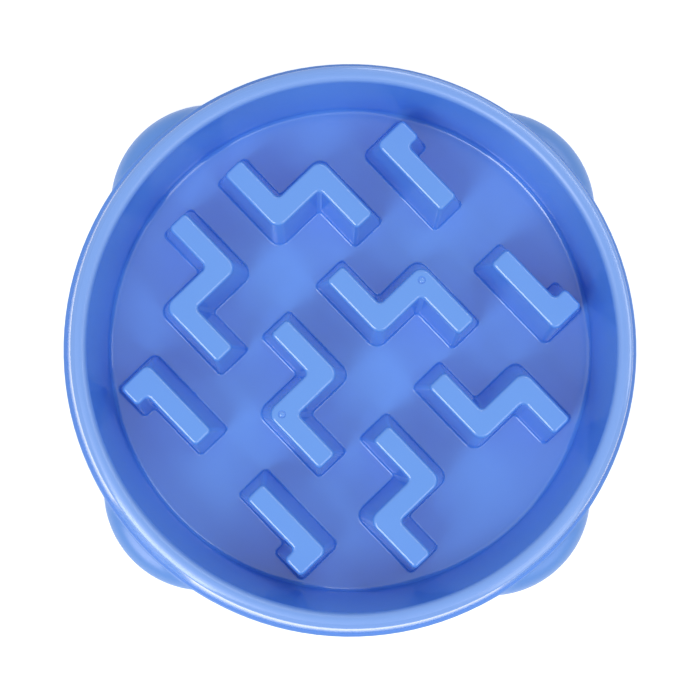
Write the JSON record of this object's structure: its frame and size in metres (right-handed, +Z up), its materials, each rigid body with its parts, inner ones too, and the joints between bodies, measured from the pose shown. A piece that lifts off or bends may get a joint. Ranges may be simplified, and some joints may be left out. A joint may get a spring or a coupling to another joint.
{
  "type": "slow feeder bowl",
  "caption": "Round plastic pet bowl with zigzag and hooked ridges standing in its dish to slow eating, a crowned lip, and rounded foot lobes with pressed-in rubber feet.",
  "frame": {"origin": "on the ground under the middle of the bowl, at the level of the rubber feet's undersides", "axes": "+Z up along the bowl's axis; X and Y through the foot lobes, Y along the ridges' long arms"},
  "size_m": [0.271, 0.271, 0.055],
  "materials": {
    "blue_plastic": "glossy moulded polypropylene",
    "foot_rubber": "matt moulded rubber"
  },
  "bodies": {
    "root": {"bowl": "blue_plastic", "rubber_foot_1": "foot_rubber", "rubber_foot_2": "foot_rubber", "rubber_foot_3": "foot_rubber", "rubber_foot_4": "foot_rubber"}
  },
  "joints": []
}
